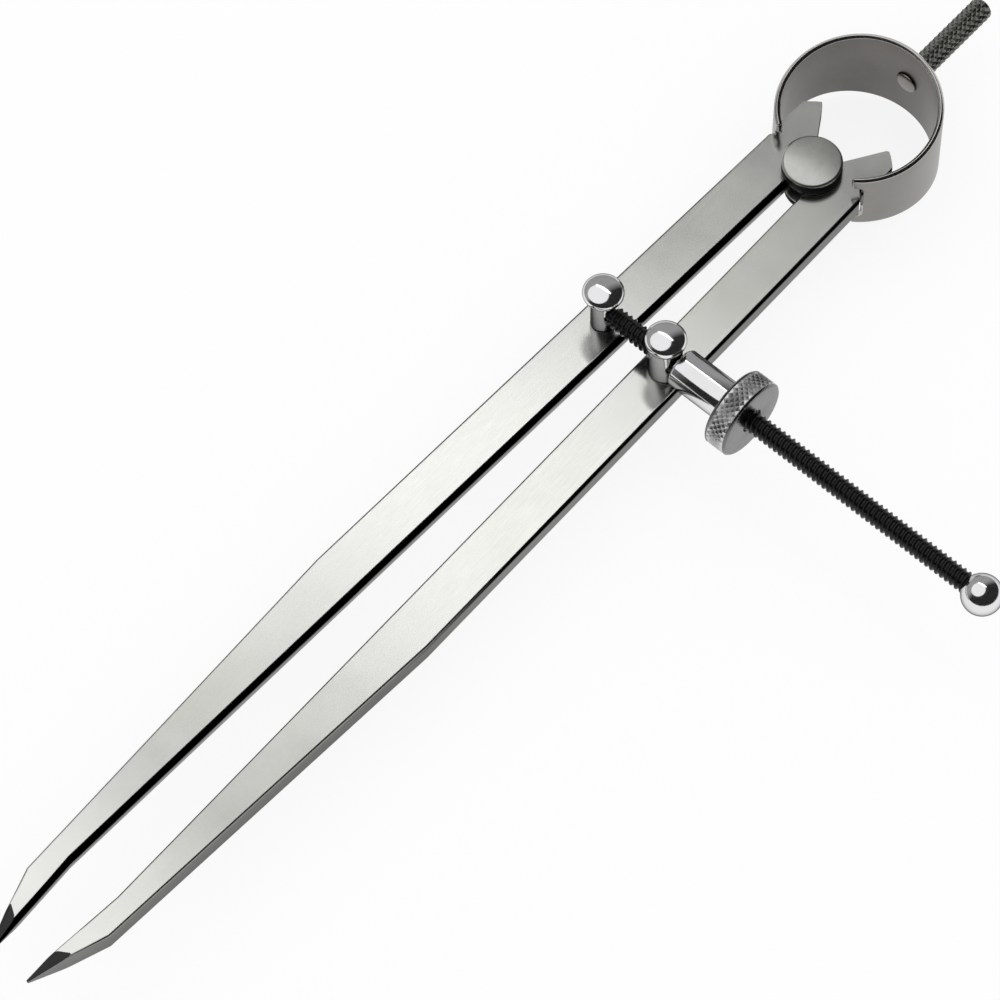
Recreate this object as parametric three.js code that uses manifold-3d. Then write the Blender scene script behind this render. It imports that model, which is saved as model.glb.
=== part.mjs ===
// Spring divider: two pointed legs that a bow spring pinches on a spool, set by a screw and a nut.
// Millimetres, +Z up. The legs lie flat in XY with their points towards -Y and the handle towards +Y.
// The origin is the middle of the fulcrum stud's rear flat face.

import * as THREE from "three";
import { mergeVertices } from "three/addons/utils/BufferGeometryUtils.js";
import Module from "manifold-3d";

const wasm = await Module();
wasm.setup();

// Clearances
const seatGap = 0.3; // between pieces that touch when assembled
const runningGap = 0.33; // between pieces that turn on each other
const overrun = 1; // how far a cutting shape passes the face that it cuts

// Fulcrum stud
const studHeadRadius = 5.3;
const studHeadThickness = 2.5;
const studHeadChamfer = 0.35;
const studRearHeadRadius = 4.6;
const studRearHeadThickness = 1.8;
const studNeckRadius = 3.4;

// Legs, in the shut position, measured from the fulcrum
const legReach = 200; // to the points
const legThickness = 4.2;
const legWidth = 8.4;
const legInset = 1.85; // inner edge to the centre line
const legTopRadius = 13.9;
const legTaperLength = 87; // from the point to where the outer edge starts to taper
const legBevelLength = 14; // from the point to where the taper turns into the bevel
const legBevelWidth = 3.85; // width there
const legLeanLength = 20; // from the point to where the inner edge starts to lean
const legGrindLength = 8; // from the point to where the front and back faces start to close
const pointInset = 0.15;
const pointWidth = 0.4;
const pointThickness = 0.5;
const legFlankAngle = 33.4; // degrees from +Y, the relief that lets the legs open
const legRestAngle = 1.09; // degrees that each leg stands open

// Bow spring
const bowCentreHeight = 12.25; // above the fulcrum
const bowOuterRadius = 14.6;
const bowThickness = 1.1;
const bowEndWidth = 13.6;
const bowCrownWidth = 18.6;
const bowProngAngle = 144.5; // degrees from the crown to the ends of the prongs
const bowForkAngle = 137.5; // degrees from the crown to the floor of the fork
const bowForkWidth = 8;
const bowForkCornerRadius = 1.6;
const bowEndCornerRadius = 0.7;

// Handle
const handleRadius = 2.1;
const handleLength = 19.9;
const handleBaseChamfer = 0.3;
const handleShankRadius = 1.2;
const handleRivetRadius = 2.2;
const handleRivetHeight = 0.6;
const handleEndHeight = 1.2;

// Posts
const postReach = 46.8; // fulcrum to the posts, along a leg
const postShankRadius = 1.8;
const postTailRadius = 2.3;
const postTailHeight = 0.6;
const leftNeckRadius = 2.15;
const rightNeckRadius = 3;
const postNeckHeight = 8.1;
const postHeadRadius = 3.6;
const postHeadUnderHeight = 1.2;
const postHeadDomeHeight = 1.8;
const postWasherRadius = 3;
const postWasherThickness = 0.8;

// Screw
const screwHeight = 4.15; // axis above the foot of the posts' necks
const screwRadius = 1.95;
const screwLength = 77.15; // shoulder at the left post to the end of the thread
const screwEndChamfer = 0.4;
const screwTenonRadius = 1.2;
const screwSpigotRadius = 1.3;
const screwSpigotLength = 3.6;
const ballRadius = 3.65;
const ballFlatRadius = 2.1;

// Nut
const sleeveRadius = 3.6;
const sleeveLength = 11.4;
const sleeveChamfer = 0.5;
const wheelRadius = 7.4;
const wheelLength = 4.5;
const wheelChamfer = 0.4;
const wheelSpigotRadius = 2.75;
const wheelSpigotDepth = 1.6;

// Facets
const fineTurns = 48;
const turns = 32;
const bowSteps = 48;
const widthSteps = 18;
const cornerSteps = 5;
const domeSteps = 4;
const ballSteps = 12;

// Levels above the stud's rear face
const legBack = studRearHeadThickness + runningGap;
const legFront = legBack + legThickness;
const legMiddle = legBack + legThickness / 2;
const studHeight = legFront + runningGap + studHeadThickness;
const postFoot = legFront + seatGap;
const screwLevel = postFoot + screwHeight;

// Plan positions at rest
const notchRadius = studNeckRadius + runningGap;
const bowInnerRadius = bowOuterRadius - bowThickness;
const bowMidRadius = bowOuterRadius - bowThickness / 2;
const postOffset = legInset + legWidth / 2;
const restTurn = radians(legRestAngle);
const postX = postOffset * Math.cos(restTurn) + postReach * Math.sin(restTurn);
const postY = postOffset * Math.sin(restTurn) - postReach * Math.cos(restTurn);

function radians(degrees) {
  return THREE.MathUtils.degToRad(degrees);
}

// A closed geometry as a solid that can be joined and cut.
function solid(geometry) {
  const bare = geometry.index ? geometry.toNonIndexed() : geometry.clone();
  bare.deleteAttribute("normal");
  bare.deleteAttribute("uv");
  const merged = mergeVertices(bare);
  const corners = merged.index.array;
  const kept = [];
  for (let i = 0; i < corners.length; i += 3) {
    const [a, b, c] = corners.slice(i, i + 3);
    if (a !== b && b !== c && c !== a) kept.push(a, b, c);
  }
  return new wasm.Manifold(
    new wasm.Mesh({
      numProp: 3,
      vertProperties: merged.attributes.position.array,
      triVerts: new Uint32Array(kept),
    }),
  );
}

function geometryOf(shape) {
  const mesh = shape.getMesh();
  const geometry = new THREE.BufferGeometry();
  geometry.setAttribute("position", new THREE.BufferAttribute(mesh.vertProperties, 3));
  geometry.setIndex(new THREE.BufferAttribute(mesh.triVerts, 1));
  geometry.computeVertexNormals();
  return geometry;
}

// Points on an arc, its angles in degrees from +X.
function arc(x, y, radius, from, to, steps) {
  const points = [];
  for (let i = 0; i <= steps; i += 1) {
    const angle = radians(from + ((to - from) * i) / steps);
    points.push(new THREE.Vector2(x + radius * Math.cos(angle), y + radius * Math.sin(angle)));
  }
  return points;
}

function point(x, y) {
  return new THREE.Vector2(x, y);
}

// An outline in XY raised from one level to another.
function plate(points, bottom, top) {
  const shape = new THREE.Shape(points);
  const geometry = new THREE.ExtrudeGeometry(shape, { depth: top - bottom, bevelEnabled: false });
  return geometry.translate(0, 0, bottom);
}

// An outline in YZ, its points given as (y, z), spread from one x to another.
function sidePlate(points, left, right) {
  const geometry = plate(points, left, right);
  return geometry.applyMatrix4(new THREE.Matrix4().set(0, 0, 1, 0, 1, 0, 0, 0, 0, 1, 0, 0, 0, 0, 0, 1));
}

// A profile of (radius, height) turned about Z, from its lowest axis point to its highest.
function turnedUp(profile, segments) {
  return new THREE.LatheGeometry(profile, segments).rotateX(radians(90));
}

// The same turned about X, where the heights run towards +X.
function turnedAcross(profile, segments) {
  return new THREE.LatheGeometry(profile, segments).rotateZ(radians(-90));
}

function rod(radius, bottom, top) {
  return [point(0, bottom), point(radius, bottom), point(radius, top), point(0, top)];
}

function chamferedRod(radius, bottom, top, chamfer) {
  return [
    point(0, bottom),
    point(radius - chamfer, bottom),
    point(radius, bottom + chamfer),
    point(radius, top - chamfer),
    point(radius - chamfer, top),
    point(0, top),
  ];
}

// A dome's rim to its top, as (radius, height) points.
function dome(radius, bottom, height) {
  return arc(0, 0, 1, 0, 90, domeSteps).map((p) => point(Math.max(0, radius * p.x), bottom + height * p.y));
}

// Legs
function legOutline(side) {
  const outer = legInset + legWidth;
  const flank = 90 - legFlankAngle;
  const notchFoot = THREE.MathUtils.radToDeg(Math.acos(legInset / notchRadius));
  const shoulder = THREE.MathUtils.radToDeg(Math.acos(outer / legTopRadius));
  const points = [
    point(pointInset, -legReach),
    point(pointInset + pointWidth, -legReach),
    point(legInset + legBevelWidth, legBevelLength - legReach),
    point(outer, legTaperLength - legReach),
    ...arc(0, 0, legTopRadius, shoulder, flank, cornerSteps),
    ...arc(0, 0, notchRadius, flank, -notchFoot, turns / 2),
    point(legInset, legLeanLength - legReach),
  ];
  return points.map((p) => point(side * p.x, p.y));
}

// The front and back faces stay parallel down to the grind and close on the point.
function legThicknessProfile() {
  const top = legTopRadius + overrun;
  const slope = (legThickness - pointThickness) / 2 / legGrindLength;
  const grindStart = legGrindLength - legReach;
  const past = pointThickness / 2 - slope * overrun;
  return [
    point(-legReach - overrun, legMiddle - past),
    point(grindStart, legBack),
    point(top, legBack),
    point(top, legFront),
    point(grindStart, legFront),
    point(-legReach - overrun, legMiddle + past),
  ];
}

// The two-faced seat: one wall follows the band's inner face, the other takes the end of the band.
function seatCutter(side) {
  const wall = bowInnerRadius - seatGap;
  const reach = legTopRadius + bowCentreHeight;
  const floorAngle = bowForkAngle + THREE.MathUtils.radToDeg(seatGap / bowMidRadius);
  const foot = 90 - floorAngle;
  const outline = [
    ...arc(0, bowCentreHeight, wall, 0, foot, turns / 2),
    ...arc(0, bowCentreHeight, reach, foot, 0, cornerSteps),
  ].map((p) => point(side * p.x, p.y));
  return solid(plate(outline, legBack - overrun, legFront + overrun));
}

// The cutter stands in the rest position, so it is turned into the leg's own shut position.
function legGeometry(side) {
  const outer = legInset + legWidth;
  const across = sidePlate(legThicknessProfile(), -outer - overrun, outer + overrun);
  const seat = seatCutter(side).rotate([0, 0, -side * legRestAngle]);
  const hole = turnedUp(rod(postShankRadius + seatGap, legBack - overrun, legFront + overrun), turns);
  hole.translate(side * postOffset, -postReach, 0);
  return geometryOf(
    solid(plate(legOutline(side), legBack - overrun, legFront + overrun))
      .intersect(solid(across))
      .subtract(seat)
      .subtract(solid(hole)),
  );
}

// Bow spring
function bandHalfWidth(angle) {
  const crownShare = (1 + Math.cos(radians((180 * angle) / bowProngAngle))) / 2;
  return (bowEndWidth + (bowCrownWidth - bowEndWidth) * crownShare) / 2;
}

// The band's width seen from the side, crown at the right, with the prongs' outer corners rounded off.
function bandWidthProfile() {
  const upper = [point(bowCentreHeight + bowOuterRadius + overrun, bandHalfWidth(0))];
  for (let i = 0; i <= widthSteps; i += 1) {
    const angle = (bowProngAngle * i) / widthSteps;
    upper.push(point(bowCentreHeight + bowMidRadius * Math.cos(radians(angle)), bandHalfWidth(angle)));
  }
  const last = upper[upper.length - 1];
  upper[upper.length - 1] = point(last.x + bowEndCornerRadius, last.y);
  upper.push(point(last.x, last.y - bowEndCornerRadius));
  upper.push(point(last.x - overrun, last.y - bowEndCornerRadius - overrun));
  const lower = upper.map((p) => point(p.x, -p.y)).reverse();
  return [...upper, ...lower].map((p) => point(p.x, legMiddle + p.y));
}

// The fork's slot in the band, seen along the band's radius: a rounded box open at the end of the band.
function forkCutter(side) {
  const half = bowForkWidth / 2;
  const inner = half - bowForkCornerRadius;
  const depth = bowMidRadius * radians(bowProngAngle - bowForkAngle);
  const mouth = -depth - overrun;
  const outline = [
    point(mouth, -half),
    ...arc(-bowForkCornerRadius, -inner, bowForkCornerRadius, -90, 0, cornerSteps),
    ...arc(-bowForkCornerRadius, inner, bowForkCornerRadius, 0, 90, cornerSteps),
    point(mouth, half),
  ];
  const cutter = plate(outline, bowInnerRadius - overrun, bowOuterRadius + overrun);
  const fork = radians(bowForkAngle);
  const along = new THREE.Vector3(-side * Math.cos(fork), Math.sin(fork), 0);
  const outward = new THREE.Vector3(side * Math.sin(fork), Math.cos(fork), 0);
  const across = new THREE.Vector3().crossVectors(outward, along);
  cutter.applyMatrix4(new THREE.Matrix4().makeBasis(along, across, outward));
  cutter.translate(0, bowCentreHeight, legMiddle);
  return solid(cutter);
}

function bowGeometry() {
  const from = 90 - bowProngAngle;
  const to = 90 + bowProngAngle;
  const ring = [
    ...arc(0, bowCentreHeight, bowOuterRadius, from, to, bowSteps),
    ...arc(0, bowCentreHeight, bowInnerRadius, to, from, bowSteps),
  ];
  const reach = bowOuterRadius + overrun;
  const band = solid(plate(ring, legMiddle - bowCrownWidth, legMiddle + bowCrownWidth));
  const width = solid(sidePlate(bandWidthProfile(), -reach, reach));
  const bore = rod(handleShankRadius + seatGap, bowCentreHeight, bowCentreHeight + reach);
  const hole = new THREE.LatheGeometry(bore, turns);
  hole.translate(0, 0, legMiddle);
  return geometryOf(
    band.intersect(width).subtract(forkCutter(1)).subtract(forkCutter(-1)).subtract(solid(hole)),
  );
}

// Handle, its shank riveted over inside the crown
function handleGeometry() {
  const inside = bowCentreHeight + bowInnerRadius - seatGap;
  const outside = bowCentreHeight + bowOuterRadius + seatGap;
  const top = outside + handleLength;
  const rivet = dome(handleRivetRadius, 0, handleRivetHeight).map((p) => point(p.x, inside - p.y)).reverse();
  const profile = [
    ...rivet,
    point(handleShankRadius, inside),
    point(handleShankRadius, outside),
    point(handleRadius - handleBaseChamfer, outside),
    point(handleRadius, outside + handleBaseChamfer),
    ...dome(handleRadius, top - handleEndHeight, handleEndHeight),
  ];
  return geometryOf(solid(new THREE.LatheGeometry(profile, turns).translate(0, 0, legMiddle)));
}

// Fulcrum stud, a spool with a head on each side of the legs
function studGeometry() {
  const neckTop = studHeight - studHeadThickness;
  const profile = [
    point(0, 0),
    point(studRearHeadRadius - studHeadChamfer, 0),
    point(studRearHeadRadius, studHeadChamfer),
    point(studRearHeadRadius, studRearHeadThickness),
    point(studNeckRadius, studRearHeadThickness),
    point(studNeckRadius, neckTop),
    point(studHeadRadius, neckTop),
    point(studHeadRadius, studHeight - studHeadChamfer),
    point(studHeadRadius - studHeadChamfer, studHeight),
    point(0, studHeight),
  ];
  return geometryOf(solid(turnedUp(profile, fineTurns)));
}

// Posts
function postProfile(neckRadius) {
  const washerBack = legBack - seatGap - postWasherThickness;
  const tail = washerBack - seatGap;
  const neckTop = postFoot + postNeckHeight;
  const rim = neckTop + postHeadUnderHeight;
  const under = dome(postHeadRadius - neckRadius, 0, postHeadUnderHeight).reverse();
  return [
    point(0, tail - postTailHeight),
    point(postShankRadius, tail - postTailHeight),
    point(postTailRadius, tail),
    point(postShankRadius, tail),
    point(postShankRadius, postFoot),
    point(neckRadius, postFoot),
    ...under.map((p) => point(neckRadius + p.x, rim - p.y)),
    ...dome(postHeadRadius, rim, postHeadDomeHeight).slice(1),
  ];
}

function crossBore(radius) {
  const reach = rightNeckRadius + overrun;
  return solid(turnedAcross(rod(radius, -reach, reach), turns).translate(0, 0, screwLevel));
}

function postGeometry(neckRadius, boreRadius) {
  return geometryOf(solid(turnedUp(postProfile(neckRadius), turns)).subtract(crossBore(boreRadius)));
}

function washerGeometry() {
  const top = legBack - seatGap;
  const disc = turnedUp(rod(postWasherRadius, top - postWasherThickness, top), turns);
  const hole = turnedUp(rod(postShankRadius + seatGap, 0, legBack), turns);
  return geometryOf(solid(disc).subtract(solid(hole)));
}

// Screw, along X from the left post's axis: a tenon in the post, the threaded length, a spigot for the ball
const screwShoulder = leftNeckRadius + seatGap;
const screwEnd = screwShoulder + screwLength;

function screwGeometry() {
  const tenonEnd = seatGap - leftNeckRadius;
  const profile = [
    point(0, tenonEnd),
    point(screwTenonRadius, tenonEnd),
    point(screwTenonRadius, screwShoulder),
    point(screwRadius - screwEndChamfer, screwShoulder),
    point(screwRadius, screwShoulder + screwEndChamfer),
    point(screwRadius, screwEnd - screwEndChamfer),
    point(screwRadius - screwEndChamfer, screwEnd),
    point(screwSpigotRadius, screwEnd),
    point(screwSpigotRadius, screwEnd + screwSpigotLength),
    point(0, screwEnd + screwSpigotLength),
  ];
  return geometryOf(solid(turnedAcross(profile, turns)));
}

// The ball's flat side stands against the end of the thread, and its bore takes the spigot.
function ballGeometry() {
  const flat = Math.sqrt(ballRadius ** 2 - ballFlatRadius ** 2);
  const centre = screwEnd + seatGap + flat;
  const from = THREE.MathUtils.radToDeg(Math.asin(flat / ballRadius));
  const round = arc(0, 0, ballRadius, -from, 90, ballSteps).map((p) => point(Math.max(0, p.x), centre + p.y));
  const ball = solid(turnedAcross([point(0, centre - flat), ...round], turns));
  const bore = rod(screwSpigotRadius + seatGap, screwEnd - overrun, screwEnd + screwSpigotLength + seatGap);
  return geometryOf(ball.subtract(solid(turnedAcross(bore, turns))));
}

// Nut, along X from the right post's axis: the sleeve bears on the post, the wheel sits on the sleeve's end
const sleeveStart = rightNeckRadius + seatGap;
const sleeveEnd = sleeveStart + sleeveLength;
const wheelEnd = sleeveEnd + wheelLength;

function sleeveGeometry() {
  const profile = [
    point(0, sleeveStart),
    point(sleeveRadius - sleeveChamfer, sleeveStart),
    point(sleeveRadius, sleeveStart + sleeveChamfer),
    point(sleeveRadius, sleeveEnd - seatGap),
    point(wheelSpigotRadius, sleeveEnd - seatGap),
    point(wheelSpigotRadius, sleeveEnd + wheelSpigotDepth - seatGap),
    point(0, sleeveEnd + wheelSpigotDepth - seatGap),
  ];
  const bore = rod(screwRadius + seatGap, sleeveStart - overrun, wheelEnd);
  return geometryOf(solid(turnedAcross(profile, turns)).subtract(solid(turnedAcross(bore, turns))));
}

function wheelGeometry() {
  const body = solid(turnedAcross(chamferedRod(wheelRadius, sleeveEnd, wheelEnd, wheelChamfer), fineTurns));
  const bore = rod(screwRadius + seatGap, sleeveEnd - overrun, wheelEnd + overrun);
  const socket = rod(wheelSpigotRadius + seatGap, sleeveEnd - overrun, sleeveEnd + wheelSpigotDepth);
  const cutters = [bore, socket].map((profile) => solid(turnedAcross(profile, turns)));
  return geometryOf(cutters.reduce((left, cutter) => left.subtract(cutter), body));
}

// Materials
function steel(color, roughness, metalness) {
  return new THREE.MeshStandardMaterial({ color, roughness, metalness, flatShading: true });
}

const finishes = {
  leg: [0xb4b5b2, 0.3, 1],
  stud: [0xaaaca5, 0.35, 1],
  band: [0x85807c, 0.4, 0.9],
  handle: [0x5a5a59, 0.5, 0.9],
  bright: [0xd6d8da, 0.12, 1],
  dark: [0x1f1f20, 0.35, 0.8],
  wheel: [0x8b8c8c, 0.4, 0.9],
};

function piece(name, geometry, finish) {
  const mesh = new THREE.Mesh(geometry, steel(...finishes[finish]));
  mesh.name = name;
  return mesh;
}

// Assembly at rest
const divider = new THREE.Group();
divider.add(piece("bow_spring", bowGeometry(), "band"));
divider.add(piece("handle", handleGeometry(), "handle"));
divider.add(piece("fulcrum_stud", studGeometry(), "stud"));

const sides = [
  { name: "left", side: -1, neck: leftNeckRadius, bore: screwTenonRadius + seatGap },
  { name: "right", side: 1, neck: rightNeckRadius, bore: screwRadius + seatGap },
];
for (const { name, side, neck, bore } of sides) {
  const leg = piece(`${name}_leg`, legGeometry(side), "leg");
  leg.rotation.z = side * restTurn;
  const post = piece(`${name}_post`, postGeometry(neck, bore), "bright");
  const washer = piece(`${name}_post_washer`, washerGeometry(), "stud");
  const atPost = new THREE.Group();
  atPost.position.set(side * postX, postY, 0);
  atPost.add(post, washer);
  divider.add(leg, atPost);
}

const screwLine = new THREE.Group();
screwLine.position.set(-postX, postY, screwLevel);
screwLine.add(piece("adjusting_screw", screwGeometry(), "dark"));
screwLine.add(piece("screw_ball_end", ballGeometry(), "bright"));

const nutLine = new THREE.Group();
nutLine.position.set(postX, postY, screwLevel);
nutLine.add(piece("nut_sleeve", sleeveGeometry(), "bright"));
nutLine.add(piece("nut_wheel", wheelGeometry(), "wheel"));
divider.add(screwLine, nutLine);

export default divider;
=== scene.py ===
"""Spring divider: the looks of its pieces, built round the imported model."""

import math

import bpy
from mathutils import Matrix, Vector


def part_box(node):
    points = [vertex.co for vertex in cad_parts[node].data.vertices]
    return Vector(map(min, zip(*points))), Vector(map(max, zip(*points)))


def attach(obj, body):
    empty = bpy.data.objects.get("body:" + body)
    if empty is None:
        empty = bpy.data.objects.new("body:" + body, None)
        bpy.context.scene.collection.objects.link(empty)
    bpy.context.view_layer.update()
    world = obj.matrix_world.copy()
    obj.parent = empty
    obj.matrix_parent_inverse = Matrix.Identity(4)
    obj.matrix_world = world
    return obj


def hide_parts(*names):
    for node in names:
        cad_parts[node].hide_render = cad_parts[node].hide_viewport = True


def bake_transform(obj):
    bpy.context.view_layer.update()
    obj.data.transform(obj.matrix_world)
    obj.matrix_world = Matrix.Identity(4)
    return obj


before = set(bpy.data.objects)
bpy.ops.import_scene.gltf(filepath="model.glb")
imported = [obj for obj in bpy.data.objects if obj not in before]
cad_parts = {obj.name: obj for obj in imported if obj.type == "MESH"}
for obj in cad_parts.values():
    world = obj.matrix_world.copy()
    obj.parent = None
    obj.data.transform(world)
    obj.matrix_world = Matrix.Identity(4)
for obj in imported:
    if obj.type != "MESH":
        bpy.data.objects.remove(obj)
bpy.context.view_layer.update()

bl_info = {
    "name": "Spring Divider",
    "version": (1, 0, 0),
    "blender": (4, 5, 0),
    "location": "3D View > Sidebar > Divider",
    "description": "Builds the pieces of a spring divider round its packed model",
    "category": "Add Mesh",
}

MM = 0.001

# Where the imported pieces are
BOW_LOW, BOW_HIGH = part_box("bow_spring")
HANDLE_LOW, HANDLE_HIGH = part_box("handle")
STUD_LOW, STUD_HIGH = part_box("fulcrum_stud")
LEG_LOW, LEG_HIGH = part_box("right_leg")
SCREW_LOW, SCREW_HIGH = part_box("adjusting_screw")
BALL_LOW, BALL_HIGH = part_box("screw_ball_end")
SLEEVE_LOW, SLEEVE_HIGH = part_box("nut_sleeve")
WHEEL_LOW, WHEEL_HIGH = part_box("nut_wheel")
WASHER_LOW, WASHER_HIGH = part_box("right_post_washer")

MIDDLE = (LEG_LOW.z + LEG_HIGH.z) / 2
SCREW_LEVEL = (SCREW_LOW.z + SCREW_HIGH.z) / 2
SCREW_RADIUS = (SCREW_HIGH.z - SCREW_LOW.z) / 2
POST_X = (WASHER_LOW.x + WASHER_HIGH.x) / 2
POST_Y = (WASHER_LOW.y + WASHER_HIGH.y) / 2
BOW_RADIUS = (BOW_HIGH.x - BOW_LOW.x) / 2
BOW_CENTRE = BOW_HIGH.y - BOW_RADIUS

# Sizes that the boxes do not tell; angles are in degrees from the crown of the bow
CLEARANCE = 0.3 * MM
PRONG_ANGLE = 144.5
FORK_ANGLE = 137.5
FORK_WIDTH = 8 * MM
FORK_ROUND = 0.9 * MM
PRONG_ROUND = 0.6 * MM
BOW_END_WIDTH = 13.6 * MM
BOW_EDGE_ROUND = 0.5 * MM
BOW_STEPS = 66
POINT_TOP = LEG_LOW.y + 8.04 * MM
POINT_SLANT = Vector((-0.112, -1.7, 0)) * MM
POST_RADIUS = {"left": 2.15 * MM, "right": 3 * MM}
SHANK_RADIUS = 1.8 * MM
TENON_RADIUS = 1.2 * MM
SPIGOT_RADIUS = 1.3 * MM

# Turns that lay a piece, made round Z, along another axis
ALONG_X = (0, math.radians(90), 0)
ALONG_Y = (math.radians(-90), 0, 0)

# Corners nearer than this become one corner
WELD = 0.002 * MM
# Corners nearer to a level than this lie on it
LEVEL = 0.01 * MM
# Faces that differ by fewer degrees than this are one flat face
SAME_FACE = 0.6
# How far in the middle point of a small round lies, as a share of its width
ROUND_MIDDLE = 0.29

# The stage, in metres and degrees
FLOOR_LEVEL = BOW_LOW.z - 0.1 * MM
FLOOR_RADIUS = 3.2
FLOOR_WHITENESS = 0.85
WORLD_STRENGTH = 0.95
TENT_RADIUS = 1.8
TENT_OPEN_TO = Vector((-0.27, -0.25, 0.93)).normalized()
TENT_OPENING = 37
LAMP_LENGTH = 1.3
LAMP_WIDTH = 0.13
LAMP_PLACE = (-0.45, 0.44, 1.25)
CAMERA_PLACE = (0.35703, -0.48383, 0.96472)
CAMERA_RISE = 60.8764
CAMERA_TURN = 41.5312
CAMERA_LENS = 236.657


def length_property(name, description, value):
    return bpy.props.FloatProperty(
        name=name, description=description, default=value, unit="LENGTH"
    )


def count_property(name, description, value, least):
    return bpy.props.IntProperty(name=name, description=description, default=value, min=least)


def colour_property(name, description, value):
    return bpy.props.FloatVectorProperty(
        name=name,
        description=description,
        subtype="COLOR",
        size=3,
        min=0,
        max=1,
        default=value,
    )


class DividerSizes(bpy.types.PropertyGroup):
    """Sizes that a user would change."""

    bow_wall: length_property("Bow wall", "Thickness of the spring band", 1.1 * MM)
    edge_round: length_property("Edge round", "Width of the legs' worn edges", 0.45 * MM)
    thread_pitch: length_property("Thread pitch", "Advance of the screw in a turn", 25.4 / 24 * MM)
    thread_depth: length_property("Thread depth", "Depth of the screw's thread", 0.34 * MM)
    handle_knurls: count_property("Handle knurls", "Diamonds round the handle", 13, 6)
    wheel_knurls: count_property("Wheel knurls", "Diamonds round the nut's wheel", 38, 12)
    knurl_depth: length_property("Knurl depth", "Height of the knurl's points", 0.24 * MM)
    lamp_power: bpy.props.FloatProperty(
        name="Lamp power", description="Power of the soft strip lamp", default=1.1, unit="POWER"
    )


class DividerColours(bpy.types.PropertyGroup):
    """Base colours of the metals."""

    leg_face: colour_property("Leg faces", "Polished faces of the legs", (0.5, 0.505, 0.482))
    # Painted shade: the near-black base of the legs' sides, the band's ends and the stud's side
    side_shade: colour_property("Leg sides", "Dark sides of the legs", (0.006, 0.006, 0.006))
    stud: colour_property("Stud", "Satin face of the fulcrum stud", (0.45, 0.455, 0.43))
    band: colour_property("Band", "Outside of the bow spring", (0.27, 0.262, 0.25))
    band_inside: colour_property("Band inside", "Inside of the bow spring", (0.15, 0.143, 0.137))
    handle: colour_property("Handle", "Knurled handle", (0.17, 0.17, 0.155))
    bright: colour_property("Bright steel", "Plated posts, ball and sleeve", (0.8, 0.8, 0.81))
    screw: colour_property("Screw", "Blackened screw", (0.004, 0.004, 0.0044))
    wheel: colour_property("Wheel", "Nut's wheel", (0.175, 0.175, 0.175))


def sizes():
    return bpy.context.scene.divider_sizes


def colours():
    return bpy.context.scene.divider_colours


# Modelling


def object_mode():
    bpy.ops.object.mode_set(mode="OBJECT")


def edit_mode():
    bpy.ops.object.mode_set(mode="EDIT")


def deselect_objects():
    if bpy.context.mode != "OBJECT":
        object_mode()
    bpy.ops.object.select_all(action="DESELECT")


def work_on(piece):
    """Makes a piece the only one that is selected, in object mode."""
    deselect_objects()
    piece.select_set(True)
    bpy.context.view_layer.objects.active = piece


def edit(piece, kind="VERT"):
    """Opens a piece for editing, with nothing of it selected."""
    work_on(piece)
    edit_mode()
    bpy.ops.mesh.select_mode(type=kind)
    bpy.ops.mesh.select_all(action="DESELECT")


def select_mesh():
    bpy.ops.mesh.select_all(action="SELECT")


def extrude(step):
    bpy.ops.mesh.extrude_region_move(TRANSFORM_OT_translate={"value": step})


def weld():
    """Merges the corners that lie on each other in the piece that is edited."""
    select_mesh()
    bpy.ops.mesh.remove_doubles(threshold=WELD)


def face_outward():
    """Ends an edit with all faces turned outward."""
    select_mesh()
    bpy.ops.mesh.normals_make_consistent(inside=False)
    object_mode()


def apply_transform():
    bpy.ops.object.transform_apply(location=True, rotation=True, scale=True)


def named(piece, name):
    """Gives a piece and its mesh one name."""
    piece.name = name
    piece.data.name = name
    return piece


def ends_of(piece, edge):
    """The two corners of an edge."""
    return [piece.data.vertices[v].co for v in edge.vertices]


def pick(piece, kind, wanted):
    """Selects the vertices, edges or faces that a test wants, and stays in edit mode."""
    edit(piece, kind)
    object_mode()
    mesh = piece.data
    rows = {"VERT": mesh.vertices, "EDGE": mesh.edges, "FACE": mesh.polygons}[kind]
    found = [bool(wanted(row)) for row in rows]
    if not any(found):
        raise RuntimeError(f"{piece.name}: no part of the mesh is where it is looked for")
    rows.foreach_set("select", found)
    edit_mode()
    bpy.ops.mesh.select_mode(type=kind)


def pick_level(piece, level, within):
    """Selects the edges that lie on a level."""
    pick(
        piece,
        "EDGE",
        lambda edge: all(abs(end.z - level) < within for end in ends_of(piece, edge)),
    )


def line_of_points(name, points):
    """A line drawn by extruding one vertex from point to point, in XZ."""
    deselect_objects()
    first = points[0]
    bpy.ops.mesh.primitive_plane_add(size=1 * MM, location=(first[0], 0, first[1]))
    piece = named(bpy.context.active_object, name)
    apply_transform()
    edit(piece)
    select_mesh()
    bpy.ops.mesh.merge(type="CENTER")
    for before, after in zip(points, points[1:]):
        extrude((after[0] - before[0], 0, after[1] - before[1]))
    return piece


def turned(name, points, steps):
    """A piece turned in the lathe: a line of (radius, height) points spun round Z."""
    piece = line_of_points(name, points)
    select_mesh()
    bpy.ops.mesh.spin(steps=steps, angle=2 * math.pi, center=(0, 0, 0), axis=(0, 0, 1))
    weld()
    face_outward()
    return piece


def quarter(radius, foot, height, steps, start=0):
    """Points of a dome's side, from its rim, or from a start angle below it, to its top."""
    turn = [math.radians(start + (90 - start) * i / steps) for i in range(steps + 1)]
    return [(radius * max(0, math.cos(t)), foot + height * math.sin(t)) for t in turn]


def softened(points, chosen, width):
    """The line with a small two-step round at the chosen corners."""
    out = []
    for i, here in enumerate(points):
        if i not in chosen:
            out.append(here)
            continue
        corner = Vector(here)
        back = (Vector(points[i - 1]) - corner).normalized() * width
        on = (Vector(points[i + 1]) - corner).normalized() * width
        for step in (back, (back + on) * ROUND_MIDDLE, on):
            out.append(tuple(corner + step))
    return out


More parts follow.
